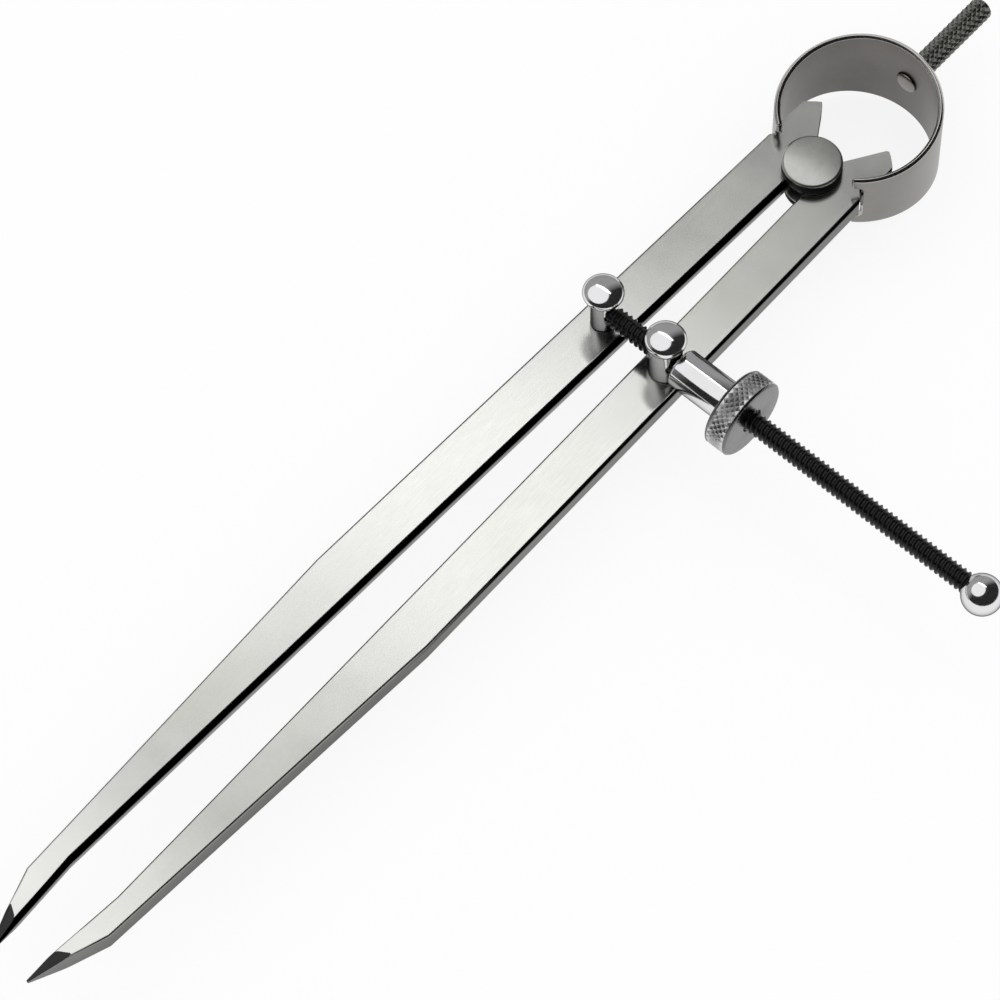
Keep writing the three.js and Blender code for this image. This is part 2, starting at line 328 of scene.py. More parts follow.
def put(piece, place, turn=(0, 0, 0)):
    """Turns a piece that was made round Z at the origin, and puts it in its place."""
    work_on(piece)
    piece.rotation_euler = turn
    piece.location = place
    apply_transform()
    return piece


def modify(piece, name, kind, **settings):
    """Adds a modifier to a piece and applies it."""
    work_on(piece)
    modifier = piece.modifiers.new(name, kind)
    for key, value in settings.items():
        setattr(modifier, key, value)
    bpy.ops.object.modifier_apply(modifier=modifier.name)


def cut(piece, cutter):
    """Takes the cutter's shape out of a piece."""
    modify(piece, "Hole", "BOOLEAN", operation="DIFFERENCE", solver="EXACT", object=cutter)
    bpy.data.objects.remove(cutter)


def smooth(piece, angle=30):
    """Smooth shading, with the edges that bend more than the angle kept sharp."""
    work_on(piece)
    bpy.ops.object.shade_smooth_by_angle(angle=math.radians(angle))


def smooth_with_flats(piece, angle):
    """Smooth over the rounded edges, with the large faces kept flat."""
    smooth(piece, angle)
    modify(piece, "Flat faces", "WEIGHTED_NORMAL", keep_sharp=True, weight=100)


def joined(name, pieces):
    """The pieces as one piece with a name of its own."""
    work_on(pieces[0])
    for other in pieces[1:]:
        other.select_set(True)
    bpy.ops.object.join()
    return named(pieces[0], name)


def copy_of_node(node, name):
    """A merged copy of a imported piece, ready to be finished."""
    deselect_objects()
    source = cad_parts[node]
    piece = named(bpy.data.objects.new(name, source.data.copy()), name)
    bpy.context.scene.collection.objects.link(piece)
    piece.data.materials.clear()
    edit(piece)
    weld()
    bpy.ops.mesh.dissolve_limited(angle_limit=math.radians(SAME_FACE))
    object_mode()
    return piece


def knurled_band(name, radius, foot, length, around, rows, depth, inner):
    """A band of diamond points round Z, closed at each end by a flat step and a disc.

    The discs have the inner radius. They belong inside a core, and no bore goes through them.
    """
    deselect_objects()
    bpy.ops.mesh.primitive_circle_add(vertices=around, radius=radius, location=(0, 0, foot))
    piece = named(bpy.context.active_object, name)
    apply_transform()
    edit_mode()
    select_mesh()
    for _ in range(rows):
        extrude((0, 0, length / rows))
    face_outward()
    corners = len(piece.data.vertices)
    bulge = radius * (1 - math.cos(math.pi / around))
    edit_mode()
    bpy.ops.mesh.select_mode(type="FACE")
    select_mesh()
    bpy.ops.mesh.poke(offset=bulge)
    low, high = foot + length * 0.001, foot + length * 0.999

    def between_corners(edge):
        one, two = ends_of(piece, edge)
        return max(edge.vertices) < corners and low < (one.z + two.z) / 2 < high

    pick(piece, "EDGE", between_corners)
    bpy.ops.mesh.dissolve_edges(use_verts=False, use_face_split=False)
    pick(piece, "FACE", lambda face: len(face.vertices) == 4)
    bpy.ops.mesh.poke(offset=depth)

    lip = 0.0001 * MM
    share = inner / radius
    for level, out in ((foot, -1), (foot + length, 1)):
        pick_level(piece, level, 0.001 * MM)
        extrude((0, 0, out * lip))
        bpy.ops.transform.resize(value=(share, share, 1))
        bpy.ops.mesh.edge_face_add()
    face_outward()
    return piece


# Finishes


def add_node(tree, kind, inputs=None, **settings):
    """A new node, with its settings made and its inputs linked or set."""
    made = tree.nodes.new(kind)
    for key, value in settings.items():
        setattr(made, key, value)
    for key, value in (inputs or {}).items():
        if isinstance(value, bpy.types.NodeSocket):
            tree.links.new(value, made.inputs[key])
        else:
            made.inputs[key].default_value = value
    return made


def scaled(colour, share):
    return tuple(min(1, c * share) for c in colour)


class Finish:
    """A finish: one Principled shader and the nodes that feed it."""

    def __init__(self, name, metallic=1, edge_shade=1):
        self.material = bpy.data.materials.new(name)
        self.material.use_nodes = True
        self.tree = self.material.node_tree
        self.tree.nodes.clear()
        self.shader = self.node(
            "ShaderNodeBsdfPrincipled",
            {"Metallic": metallic, "Specular Tint": (edge_shade, edge_shade, edge_shade, 1)},
        )
        self.out = self.node("ShaderNodeOutputMaterial", {"Surface": self.shader.outputs["BSDF"]})
        self.place = self.node("ShaderNodeTexCoord").outputs["Object"]

    def node(self, kind, inputs=None, **settings):
        return add_node(self.tree, kind, inputs, **settings)

    def link(self, socket, key):
        self.tree.links.new(socket, self.shader.inputs[key])

    def mapped(self, scale, turn=(0, 0, 0), centre=(0, 0, 0)):
        """The place on the piece, scaled, turned and moved."""
        made = self.node(
            "ShaderNodeMapping",
            {"Vector": self.place, "Scale": scale, "Rotation": turn, "Location": centre},
        )
        return made.outputs["Vector"]

    def along(self, axis, place=None):
        """How far along an axis the place is."""
        made = self.node("ShaderNodeSeparateXYZ", {0: place or self.place})
        return made.outputs[axis]

    def noise(self, scale, detail, stretch=(1, 1, 1)):
        """Clouds of a size, drawn out along the axes whose stretch is small."""
        made = self.node(
            "ShaderNodeTexNoise",
            {
                "Vector": self.mapped(stretch),
                "Scale": scale,
                "Detail": detail,
                "Roughness": 0.55,
            },
        )
        return made.outputs["Fac"]

    def ranged(self, socket, low, high, to_low, to_high):
        """The value, low to high, brought to another range."""
        made = self.node(
            "ShaderNodeMapRange",
            {
                "Value": socket,
                "From Min": low,
                "From Max": high,
                "To Min": to_low,
                "To Max": to_high,
            },
        )
        return made.outputs["Result"]

    def blended(self, share, one, two):
        """A mix of two colours, each of them a socket or written."""
        pair = [c if isinstance(c, bpy.types.NodeSocket) else (*c, 1) for c in (one, two)]
        made = self.node("ShaderNodeMix", {0: share, 6: pair[0], 7: pair[1]}, data_type="RGBA")
        return made.outputs[2]

    def clouded(self, cloud, low, high, colour, spread):
        """The colour, darker and lighter by the spread with the clouds."""
        share = self.ranged(cloud, low, high, 0, 1)
        return self.blended(share, scaled(colour, 1 - spread), scaled(colour, 1 + spread))

    def bump(self, height, strength, distance):
        made = self.node(
            "ShaderNodeBump", {"Height": height, "Strength": strength, "Distance": distance}
        )
        self.link(made.outputs["Normal"], "Normal")

    def times(self, one, two):
        return self.node("ShaderNodeMath", {0: one, 1: two}, operation="MULTIPLY").outputs[0]

    def plus(self, one, two):
        return self.node("ShaderNodeMath", {0: one, 1: two}, operation="ADD").outputs[0]


def ground_steel(
    name,
    colour,
    rough,
    grain=(260, 5200),
    stretch=(1, 0.05, 1),
    spread=0.1,
    tint=None,
    painted_light_side=False,
    tip=None,
):
    """Flat steel with a fine grain one way and faint cloudy patches.

    It may be tinted in spots, given painted light that brightens it towards one side, and given a
    painted highlight near the level of a tip.
    """
    made = Finish(name)
    cloud = made.noise(38, 5)
    fine = made.noise(grain[1], 2, stretch)
    coarse = made.noise(grain[0], 3, stretch)
    shade = made.clouded(cloud, 0.35, 0.68, colour, spread)
    if tint:
        patch = made.ranged(made.noise(24, 3), 0.5, 0.72, 0, 0.6)
        shade = made.blended(patch, shade, tint)
    # Painted light: brighter towards one side, where the light falls
    if painted_light_side:
        across = made.along("X", made.mapped((1, 1, 1), (0, 0, math.radians(37))))
        share = made.ranged(across, -6 * MM, 9 * MM, 0, 1)
        shade = made.blended(share, shade, scaled(colour, 2.9))
    # Painted highlight: brighter towards the level of the tip
    if tip:
        share = made.ranged(made.along("Y"), tip + 42 * MM, tip + 12 * MM, 0, 0.85)
        shade = made.blended(share, shade, scaled(colour, 1.65))
    made.link(shade, "Base Color")
    patchy = made.ranged(cloud, 0.3, 0.7, rough * 0.85, rough * 1.15)
    made.link(made.plus(patchy, made.ranged(fine, 0.2, 0.8, -0.015, 0.015)), "Roughness")
    made.bump(made.plus(fine, made.times(coarse, 0.3)), 0.02, 0.01 * MM)
    return made.material


def side_steel(name, dark, share, light, low=None):
    """Ground side of a leg, with painted reflection: dark down to a share of its thickness, and
    painted light below.

    The low part of the leg can have a painted shade of its own.
    """
    made = Finish(name, 1, 0.1)
    uneven = made.times(made.ranged(made.noise(90, 4, (1, 0.2, 1)), 0.3, 0.7, -0.3, 0.3), MM)
    level = LEG_LOW.z + (LEG_HIGH.z - LEG_LOW.z) * share
    soft = 0.35 * MM
    # Painted reflection: the side is dark above the level and lighter below
    above = made.ranged(made.plus(made.along("Z"), uneven), level - soft, level + soft, 0, 1)
    shade = made.blended(above, light, dark)
    # Painted reflection: a shade of its own on the side towards the point
    if low:
        shade = made.blended(made.ranged(made.along("Y"), -0.095, -0.12, 0, 1), shade, low)
    made.link(shade, "Base Color")
    grain = made.noise(3200, 2, (1, 0.08, 1))
    made.link(made.ranged(grain, 0.2, 0.8, 0.3, 0.42), "Roughness")
    made.bump(grain, 0.08, 0.01 * MM)
    return made.material


def turned_steel(name, colour, rough, centre=(0, 0, 0), turn=(0, 0, 0), pitch=2600, deep=0.12):
    """Turned steel: fine rings round the axis and small changes of gloss."""
    made = Finish(name)
    rings = made.node(
        "ShaderNodeTexWave",
        {
            "Vector": made.mapped((1, 1, 1), turn, centre),
            "Scale": pitch,
            "Distortion": 1.5,
            "Detail": 2,
            "Detail Scale": 1.5,
        },
        wave_type="RINGS",
        rings_direction="Z",
    ).outputs["Fac"]
    cloud = made.noise(120, 4)
    made.link(made.clouded(cloud, 0.35, 0.68, colour, 0.08), "Base Color")
    patchy = made.ranged(cloud, 0.3, 0.7, rough * 0.85, rough * 1.15)
    made.link(made.plus(patchy, made.ranged(rings, 0, 1, -0.03, 0.03)), "Roughness")
    made.bump(rings, deep, 0.02 * MM)
    return made.material


def plated_steel(name, colour):
    """Bright plating: nearly a mirror, with slight ripples and hazy spots."""
    made = Finish(name, 1, 0.1)
    cloud = made.noise(160, 4)
    specks = made.noise(1500, 2)
    share = made.ranged(cloud, 0.3, 0.7, 0, 1)
    made.link(made.blended(share, scaled(colour, 0.94), scaled(colour, 1.03)), "Base Color")
    rough = 0.09
    patchy = made.ranged(cloud, 0.3, 0.75, rough * 0.7, rough * 1.5)
    made.link(made.plus(patchy, made.ranged(specks, 0.6, 0.8, 0, 0.05)), "Roughness")
    made.bump(made.plus(cloud, made.times(specks, 0.2)), 0.1, 0.05 * MM)
    return made.material


def blackened_and_shaded_steel(name, colour, rough, gloss, wear=0.05, worn=(0.3, 0.3, 0.3)):
    """Black steel, worn a little brighter on its high spots: blackening on the screw, and painted
    shade on the band's ends and the stud's side.
    """
    made = Finish(name, 0, 1)
    made.shader.inputs["Specular IOR Level"].default_value = gloss
    cloud = made.noise(220, 5)
    specks = made.noise(1800, 3)
    shade = made.clouded(cloud, 0.3, 0.7, colour, 0.35)
    height = made.node("ShaderNodeNewGeometry").outputs["Pointiness"]
    rub = made.ranged(height, 0.52, 0.62, 0, 1)
    made.link(made.blended(made.times(rub, wear), shade, worn), "Base Color")
    made.link(made.ranged(specks, 0.2, 0.8, rough * 0.8, rough * 1.25), "Roughness")
    made.bump(made.plus(specks, cloud), 0.2, 0.02 * MM)
    return made.material


def knurled_steel(name, colour, rough, valley_shade=0.35, top=1.5):
    """Knurled steel: painted shade in the grooves and painted highlight on the points."""
    made = Finish(name)
    cloud = made.noise(240, 4)
    height = made.node("ShaderNodeNewGeometry").outputs["Pointiness"]
    shade = made.clouded(cloud, 0.3, 0.7, colour, 0.15)
    # Painted shade in the grooves, painted highlight on the points
    shade = made.blended(made.ranged(height, 0.5, 0.44, 0, 1), shade, scaled(colour, valley_shade))
    shade = made.blended(made.ranged(height, 0.52, 0.6, 0, 1), shade, scaled(colour, top))
    made.link(shade, "Base Color")
    made.link(made.ranged(cloud, 0.3, 0.7, rough * 0.8, rough * 1.2), "Roughness")
    made.bump(made.noise(1600, 3), 0.15, 0.02 * MM)
    return made.material


def finish(name):
    """The named finish, made when it is first asked for."""
    if name in bpy.data.materials:
        return bpy.data.materials[name]
    c = colours()
    band = {"grain": (300, 3000), "stretch": (0.08, 0.08, 1)}
    plain = (1, 1, 1)
    makers = {
        # The leg faces get a painted highlight towards the tips
        "leg_face_steel": lambda: ground_steel(
            name, c.leg_face, 0.2, tint=(0.45, 0.46, 0.415), tip=LEG_LOW.y
        ),
        # Painted reflection on the legs' sides: dark above, lighter below
        "leg_outer_side": lambda: side_steel(
            name, c.side_shade, 0.78, (0.5, 0.5, 0.49), (0.36, 0.36, 0.35)
        ),
        "leg_inner_side": lambda: side_steel(name, c.side_shade, 0.36, (0.55, 0.55, 0.54)),
        # Painted shade: the point's facet is the legs' steel made nearly black
        "leg_point_steel": lambda: ground_steel(
            name, (0.045, 0.045, 0.044), 0.3, (400, 4000), (1, 0.3, 1), 0.3
        ),
        # Painted shade on the band's ends
        "dark_end_steel": lambda: blackened_and_shaded_steel(name, c.side_shade, 0.45, 0.05),
        "stud_steel": lambda: turned_steel(name, c.stud, 0.3),
        # Painted shade on the stud's side
        "stud_side_steel": lambda: blackened_and_shaded_steel(name, c.side_shade, 0.4, 0.02, wear=0),
        "band_steel": lambda: ground_steel(
            name, c.band, 0.33, spread=0.12, tint=(0.36, 0.31, 0.28), **band
        ),
        # Painted light brightens the band's inside towards one side
        "band_inside_steel": lambda: ground_steel(
            name, c.band_inside, 0.38, spread=0.25, tint=(0.17, 0.14, 0.13), painted_light_side=True, **band
        ),
        "band_edge_steel": lambda: ground_steel(
            name, (0.48, 0.47, 0.455), 0.15, (400, 3000), plain
        ),
        # Knurls with painted shade in the grooves and painted highlight on the points
        "handle_knurl_steel": lambda: knurled_steel(name, c.handle, 0.38),
        "rivet_steel": lambda: ground_steel(
            name, (0.27, 0.25, 0.235), 0.36, (500, 3000), plain, 0.15
        ),
        "bright_plate": lambda: plated_steel(name, c.bright),
        "black_screw_steel": lambda: blackened_and_shaded_steel(
            name, c.screw, 0.22, 0.22, wear=0.2, worn=(0.1, 0.1, 0.1)
        ),
        "wheel_face_steel": lambda: turned_steel(
            name, c.wheel, 0.24, (SCREW_LEVEL, -POST_Y, 0), ALONG_X, 1500, 0.5
        ),
        # Strong painted shade in the grooves and painted highlight on the points
        "wheel_knurl_steel": lambda: knurled_steel(name, scaled(c.wheel, 2.3), 0.32, 0.02, 2.4),
        "washer_steel": lambda: turned_steel(name, c.stud, 0.32),
    }
    return makers[name]()


def dress(piece, body, nodes, main, others=()):
    """Gives a finished piece its finishes, its body and the nodes it stands for."""
    piece.data.materials.clear()
    for index, (name, wanted) in enumerate([(main, lambda face: True), *others]):
        piece.data.materials.append(finish(name))
        for face in piece.data.polygons:
            if wanted(face):
                face.material_index = index
    if body:
        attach(piece, body)
    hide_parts(*nodes)


# Operators


def leg_blade(side, sign):
    """One leg, with a rounded tab, a slanted top to its point's facet and worn long edges."""
    piece = copy_of_node(f"{side}_leg", f"{side}_leg_blade")
    tab_foot = LEG_HIGH.y - 1.4 * MM
    tab_round = 0.55 * MM
    upright_edge = 3 * MM
    facet_top = POINT_TOP + 0.1 * MM
    facet_foot = POINT_TOP + POINT_SLANT.y - 0.2 * MM
    inner_half = 5 * MM
    edge_top = 0.7 * MM
    stud_reach = 4.2 * MM
    hole, hole_reach = Vector((sign * POST_X, POST_Y)), 3 * MM

    def tab_corner(edge):
        one, two = ends_of(piece, edge)
        return min(one.y, two.y) > tab_foot and abs(one.z - two.z) > upright_edge

    def facet_corner(vertex):
        x, y, z = vertex.co
        near = abs(y - POINT_TOP) < 0.1 * MM and abs(x) < inner_half
        return near and abs(z - LEG_HIGH.z) < LEVEL

    def facet_edge(edge):
        return all(facet_foot < end.y < facet_top for end in ends_of(piece, edge))

    def long_edge(edge):
        ends = ends_of(piece, edge)
        flat = abs(ends[0].z - ends[1].z) < LEVEL and all(
            min(abs(end.z - LEG_LOW.z), abs(end.z - LEG_HIGH.z)) < LEVEL for end in ends
        )
        clear = all(
            facet_foot < end.y < edge_top and (end.xy - hole).length > hole_reach for end in ends
        )
        above_point = max(end.y for end in ends) > POINT_TOP + 0.2 * MM
        return flat and clear and above_point and max(end.xy.length for end in ends) > stud_reach

    pick(piece, "EDGE", tab_corner)
    bpy.ops.mesh.bevel(offset=tab_round, segments=4, affect="EDGES")
    pick(piece, "VERT", facet_corner)
    bpy.ops.transform.translate(value=(sign * POINT_SLANT.x, POINT_SLANT.y, 0))
    pick(piece, "EDGE", facet_edge)
    bpy.ops.mesh.mark_sharp()
    pick(piece, "EDGE", long_edge)
    bpy.ops.mesh.bevel(offset=sizes().edge_round, segments=3, affect="EDGES", clamp_overlap=False)
    object_mode()
    smooth_with_flats(piece, 50)
    return piece


def upright(face):
    """Whether a face belongs to a leg's sides, and not to its flats."""
    return abs(face.normal.z) < 0.8


class DIVIDER_OT_legs(bpy.types.Operator):
    """The two legs, with worn edges and painted reflection darkening their sides"""

    bl_idname = "divider.legs"
    bl_label = "Legs"

    def execute(self, context):
        for side, sign in (("left", -1), ("right", 1)):
            dress(
                leg_blade(side, sign),
                f"{side}_leg",
                [f"{side}_leg"],
                "leg_face_steel",
                [
                    # The sides get painted reflection
                    ("leg_outer_side", lambda face: upright(face) and face.normal.x * sign >= 0),
                    ("leg_inner_side", lambda face: upright(face) and face.normal.x * sign < 0),
                    # The point's facet gets painted shade
                    (
                        "leg_point_steel",
                        lambda face: face.center.y < POINT_TOP and face.normal.z > 0.3,
                    ),
                ],
            )
        return {"FINISHED"}


class DIVIDER_OT_stud(bpy.types.Operator):
    """The fulcrum stud, a spool with two satin heads"""

    bl_idname = "divider.stud"
    bl_label = "Fulcrum stud"

    def execute(self, context):
        wide = (STUD_HIGH.x - STUD_LOW.x) / 2
        top = STUD_HIGH.z
        front_foot = top - 2.5 * MM
        rear_wide, rear_top, neck = 4.6 * MM, 1.8 * MM, 3.4 * MM
        edge = 0.35 * MM
        points = [
            (0, 0),
            (rear_wide - edge, 0),
            (rear_wide, edge),
            (rear_wide, rear_top),
            (neck, rear_top),
            (neck, front_foot),
            (wide, front_foot),
            (wide, top - edge),
            (wide - edge, top),
            (0, top),
        ]
        piece = turned("stud_spool", softened(points, {1, 2, 3, 6, 7, 8}, 0.1 * MM), 96)
        smooth(piece)
        dress(
            piece,
            "head",
            ["fulcrum_stud"],
            "stud_steel",
            # The stud's side gets painted shade
            [("stud_side_steel", lambda face: abs(face.normal.z) < 0.2)],
        )
        return {"FINISHED"}


def spin_band(steps, angle):
    """Draws what is selected round the centre of the bow."""
    bpy.ops.mesh.spin(
        steps=steps,
        angle=math.radians(angle),
        center=(0, BOW_CENTRE, MIDDLE),
        axis=(0, 0, 1),
    )


def band_angle(place):
    """Degrees from the crown of the bow."""
    return math.degrees(math.atan2(place.x, place.y - BOW_CENTRE))


def half_band():
    """The right half of the spring band, from the crown to the ends of its two prongs."""
    wall = sizes().bow_wall
    middle_radius = BOW_RADIUS - wall / 2
    half_crown = (BOW_HIGH.z - BOW_LOW.z) / 2
    fork = FORK_WIDTH / 2
    deselect_objects()
    bpy.ops.mesh.primitive_plane_add(
        size=1, location=(0, BOW_CENTRE + middle_radius, MIDDLE), rotation=ALONG_X
    )
    piece = bpy.context.active_object
    piece.name = "bow_band"
    piece.scale = (2 * half_crown, wall, 1)
    apply_transform()
    edit_mode()
    for z in (-fork, -fork / 2, 0, fork / 2, fork):
        select_mesh()
        bpy.ops.mesh.bisect(plane_co=(0, 0, MIDDLE + z), plane_no=(0, 0, 1))
    select_mesh()
    spin_band(BOW_STEPS, FORK_ANGLE)
    at_angle = 0.1

    def prong_root(face):
        at_fork = abs(band_angle(face.center) - FORK_ANGLE) < at_angle
        return at_fork and abs(face.center.z - MIDDLE) > fork

    pick(piece, "FACE", prong_root)
    spin_band(1, PRONG_ANGLE - FORK_ANGLE)
    weld()
    face_outward()
    crown_extra = (BOW_HIGH.z - BOW_LOW.z - BOW_END_WIDTH) / 2
    for vertex in piece.data.vertices:
        offset = vertex.co.z - MIDDLE
        if abs(offset) < half_crown - LEVEL:
            continue
        turn = 180 * band_angle(vertex.co) / PRONG_ANGLE
        share = (1 + math.cos(math.radians(turn))) / 2
        vertex.co.z = MIDDLE + math.copysign(BOW_END_WIDTH / 2 + crown_extra * share, offset)

    def through_wall(edge, angle):
        """Whether an edge goes straight through the wall at an angle of the band."""
        one, two = ends_of(piece, edge)
        near = abs(band_angle((one + two) / 2) - angle) < at_angle
        return near and abs((one - two).length - wall) < 0.02 * MM

    def fork_corner(edge):
        one, two = ends_of(piece, edge)
        at_corner = abs(abs((one + two).z / 2 - MIDDLE) - fork) < 0.05 * MM
        return at_corner and through_wall(edge, FORK_ANGLE)

    pick(piece, "EDGE", fork_corner)
    bpy.ops.mesh.bevel(offset=FORK_ROUND, segments=4, affect="EDGES")
    pick(piece, "EDGE", lambda edge: through_wall(edge, PRONG_ANGLE))
    bpy.ops.mesh.bevel(offset=PRONG_ROUND, segments=4, affect="EDGES")
    object_mode()
    return piece


def full_band():
    """The whole spring band, with rounded edges."""
    band = half_band()
    modify(band, "Other half", "MIRROR", use_axis=(True, False, False), merge_threshold=LEVEL)

    def at_crown(face):
        return abs(face.center.x) < 0.001 * MM and abs(face.normal.x) > 0.99

    pick(band, "FACE", at_crown)
    bpy.ops.mesh.delete(type="FACE")
    weld()
    face_outward()
    modify(
        band,
        "Worn edges",
        "BEVEL",
        width=BOW_EDGE_ROUND,
        segments=4,
        profile=0.28,
        limit_method="ANGLE",
        angle_limit=math.radians(50),
        use_clamp_overlap=False,
    )
    return band


class DIVIDER_OT_bow(bpy.types.Operator):
    """The bow spring: one band in two halves"""

    bl_idname = "divider.bow"
    bl_label = "Bow spring"

    def execute(self, context):
        band = full_band()
        centre = Vector((0, BOW_CENTRE, MIDDLE))

        def outward(face):
            out = face.center - centre
            out.z = 0
            return face.normal.dot(out.normalized())

        for side, sign in (("left", -1), ("right", 1)):
            work_on(band)
            bpy.ops.object.duplicate()
            half = named(bpy.context.active_object, f"bow_{side}_half")
            edit(half)
            select_mesh()
            bpy.ops.mesh.bisect(
                plane_co=(0, 0, 0), plane_no=(-sign, 0, 0), use_fill=True, clear_outer=True
            )
            object_mode()
            smooth_with_flats(half, 60)
            dress(
                half,
                None,
                ["bow_spring"],
                "band_edge_steel",
                [
                    ("band_steel", lambda face: outward(face) > 0.9),
                    ("band_inside_steel", lambda face: outward(face) < -0.9),
                    # The band's ends get painted shade
                    (
                        "dark_end_steel",
                        lambda face: abs(face.normal.z) < 0.4 and abs(outward(face)) < 0.4,
                    ),
                ],
            )
            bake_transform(half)
        bpy.data.objects.remove(band)
        return {"FINISHED"}


class DIVIDER_OT_handle(bpy.types.Operator):
    """The knurled handle, riveted over inside the crown"""

    bl_idname = "divider.handle"
    bl_label = "Handle"

    def execute(self, context):
        s = sizes()
        wide = (HANDLE_HIGH.z - HANDLE_LOW.z) / 2
        base = BOW_HIGH.y + CLEARANCE
        end = HANDLE_HIGH.y
        shank, rivet_high = 1.2 * MM, 0.6 * MM
        rivet_wide = 2.1 * MM
        inside = HANDLE_LOW.y + rivet_high
        core = wide - s.knurl_depth
        corner = 0.3 * MM
        dome_foot = end - 1.2 * MM
        knurl_start, knurl_over_dome = 0.15 * MM, 0.45 * MM
        row_height = 1.25 * MM
        raised = 0.02 * MM
        rivet = [(r, inside - h) for r, h in quarter(rivet_wide, 0, rivet_high, 6)][::-1]
        points = [
            *rivet,
            (shank, inside),
            (shank, base),
            (core - corner, base),
            (core, base + corner),
            *quarter(core, dome_foot, end - dome_foot, 8),
        ]
        piece = turned("handle_core", points, 64)
        knurl = knurled_band(
            "handle_knurl",
            core + raised,
            base + knurl_start,
            dome_foot + knurl_over_dome - base - knurl_start,
            s.handle_knurls,
            round((dome_foot - base - corner) / row_height),
            s.knurl_depth - raised,
            core - corner,
        )
        smooth(piece)
        piece = joined("handle_knurled", [piece, knurl])
        put(piece, (0, 0, MIDDLE), ALONG_Y)
        dress(
            piece,
            "head",
            ["handle"],
            "handle_knurl_steel",
            [("rivet_steel", lambda face: face.center.y < base - 0.1 * MM)],
        )
        return {"FINISHED"}


class DIVIDER_OT_posts(bpy.types.Operator):
    """The two bright posts with their washers"""

    bl_idname = "divider.posts"
    bl_label = "Posts"

    def execute(self, context):
        soft = 0.12 * MM
        for side, sign in (("left", -1), ("right", 1)):
            low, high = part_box(f"{side}_post")
            neck = POST_RADIUS[side]
            head = (high.x - low.x) / 2
            tail, tail_top = 2.3 * MM, low.z + 0.6 * MM
            foot = LEG_HIGH.z + CLEARANCE
            dome, under = 1.8 * MM, 1.2 * MM
            rim = high.z - dome
            lip = [
                (neck + (head - neck) * math.sin(t), rim - under * math.cos(t))
                for t in map(math.radians, range(0, 91, 15))
            ]
            points = [
                (0, low.z),
                (SHANK_RADIUS, low.z),
                (tail, tail_top),
                (SHANK_RADIUS, tail_top),
                (SHANK_RADIUS, foot),
                (neck, foot),
                *lip,
                *quarter(head, rim, dome, 10)[1:],
            ]
            piece = turned(f"{side}_post_pin", softened(points, {5}, soft), 64)
            put(piece, (sign * POST_X, POST_Y, 0))
            in_bore = TENON_RADIUS if side == "left" else SCREW_RADIUS
            deselect_objects()
            bpy.ops.mesh.primitive_cylinder_add(
                vertices=48,
                radius=in_bore + CLEARANCE,
                depth=4 * head,
                location=(sign * POST_X, POST_Y, SCREW_LEVEL),
                rotation=ALONG_X,
            )
            cut(piece, bpy.context.active_object)
            smooth(piece)
            dress(piece, f"{side}_post", [f"{side}_post"], "bright_plate")

            wide = (WASHER_HIGH.x - WASHER_LOW.x) / 2
            hole = SHANK_RADIUS + CLEARANCE
            ring = [
                (hole, WASHER_LOW.z),
                (wide, WASHER_LOW.z),
                (wide, WASHER_HIGH.z),
                (hole, WASHER_HIGH.z),
                (hole, WASHER_LOW.z),
            ]
            washer = turned(f"{side}_washer_ring", softened(ring, {1, 2}, soft), 64)
            put(washer, (sign * POST_X, POST_Y, 0))
            smooth(washer)
            dress(washer, f"{side}_post", [f"{side}_post_washer"], "washer_steel")
        return {"FINISHED"}


def screw_thread(length):
    """A threaded rod of a length, round Z from the origin, closed at both ends."""
    pitch = sizes().thread_pitch
    root = SCREW_RADIUS - sizes().thread_depth
    # Shares of the pitch at which a tooth rises from the root, stays at its crest and ends
    rise, crest_start, crest_end, fall = 0.16, 0.44, 0.56, 0.84
    shape = [
        (root, 0),
        (root, rise * pitch),
        (SCREW_RADIUS, crest_start * pitch),
        (SCREW_RADIUS, crest_end * pitch),
        (root, fall * pitch),
        (root, pitch),
    ]
    lead = 1.4 * pitch
    line = line_of_points("screw_thread", [(r, z - lead) for r, z in shape])
    modify(
        line,
        "Thread",
        "SCREW",
        axis="Z",
        angle=2 * math.pi,
        screw_offset=pitch,
        iterations=math.ceil(length / pitch) + 3,
        steps=24,
        render_steps=24,
        use_merge_vertices=True,
        merge_threshold=WELD,
    )
    edit(line)
    weld()
    near = 0.00001 * MM
    for level, side in ((0, {"clear_inner": True}), (length, {"clear_outer": True})):
        select_mesh()
        bpy.ops.mesh.bisect(plane_co=(0, 0, level), plane_no=(0, 0, 1), threshold=near, **side)
    for level in (0, length):
        pick_level(line, level, 0.0005 * MM)
        bpy.ops.mesh.edge_face_add()
    face_outward()
    smooth(line, 25)
    return line


class DIVIDER_OT_screw(bpy.types.Operator):
    """The blackened adjusting screw, its thread cut all the way"""

    bl_idname = "divider.screw"
    bl_label = "Adjusting screw"

    def execute(self, context):
        shoulder = -POST_X + POST_RADIUS["left"] + CLEARANCE
        thread_end = SCREW_HIGH.x - 3.6 * MM
        overlap = 0.2 * MM
        line = screw_thread(thread_end - shoulder)
        pieces = [put(line, (shoulder, POST_Y, SCREW_LEVEL), ALONG_X)]
        for name, radius, start, stop in (
            ("screw_tenon", TENON_RADIUS, SCREW_LOW.x, shoulder + overlap),
            ("screw_spigot", SPIGOT_RADIUS, thread_end - overlap, SCREW_HIGH.x),
        ):
            points = [(0, 0), (radius, 0), (radius, stop - start), (0, stop - start)]
            end = turned(name, softened(points, {1, 2}, 0.1 * MM), 48)
            smooth(end)
            pieces.append(put(end, (start, POST_Y, SCREW_LEVEL), ALONG_X))
        piece = joined("screw_threaded", pieces)
        dress(piece, "left_post", ["adjusting_screw"], "black_screw_steel")
        return {"FINISHED"}


